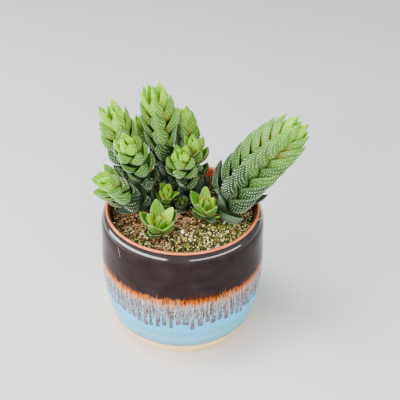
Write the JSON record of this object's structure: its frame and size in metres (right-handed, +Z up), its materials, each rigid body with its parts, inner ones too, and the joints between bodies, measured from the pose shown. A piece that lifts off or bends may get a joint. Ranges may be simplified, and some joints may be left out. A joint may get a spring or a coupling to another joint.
{
  "type": "potted haworthia",
  "caption": "Clump of upright spiral-leaved succulent stems with small pups in a plastic nursery pot, standing in a drum-shaped glazed ceramic pot.",
  "frame": {"origin": "centre of the ceramic pot's flat foot, on the pot's axis, at the surface that it stands on", "axes": "+Z up along the pot's axis; -Y towards the front of the plant, where the low pups show; +X towards the largest stem, which leans out over the rim"},
  "size_m": [0.161, 0.1314, 0.2023],
  "materials": {
    "pot_glaze": "gloss",
    "liner_plastic": "satin",
    "potting_mix": "matte",
    "leaf_green": "satin",
    "leaf_young": "satin",
    "leaf_dark": "satin"
  },
  "bodies": {
    "root": {"ceramic_pot": "pot_glaze", "nursery_pot": "liner_plastic", "soil": "potting_mix", "stem_right": "leaf_green", "stem_top": "leaf_green", "stem_far_left": "leaf_green", "stem_front_left": "leaf_green", "stem_back_right": "leaf_green", "stem_mid_right": "leaf_green", "stem_centre": "leaf_green", "stem_low_left": "leaf_green", "stem_back_left": "leaf_green", "pup_back": "leaf_dark", "pup_dark": "leaf_dark", "pup_centre": "leaf_young", "pup_right": "leaf_young", "pup_front": "leaf_young"}
  },
  "joints": []
}
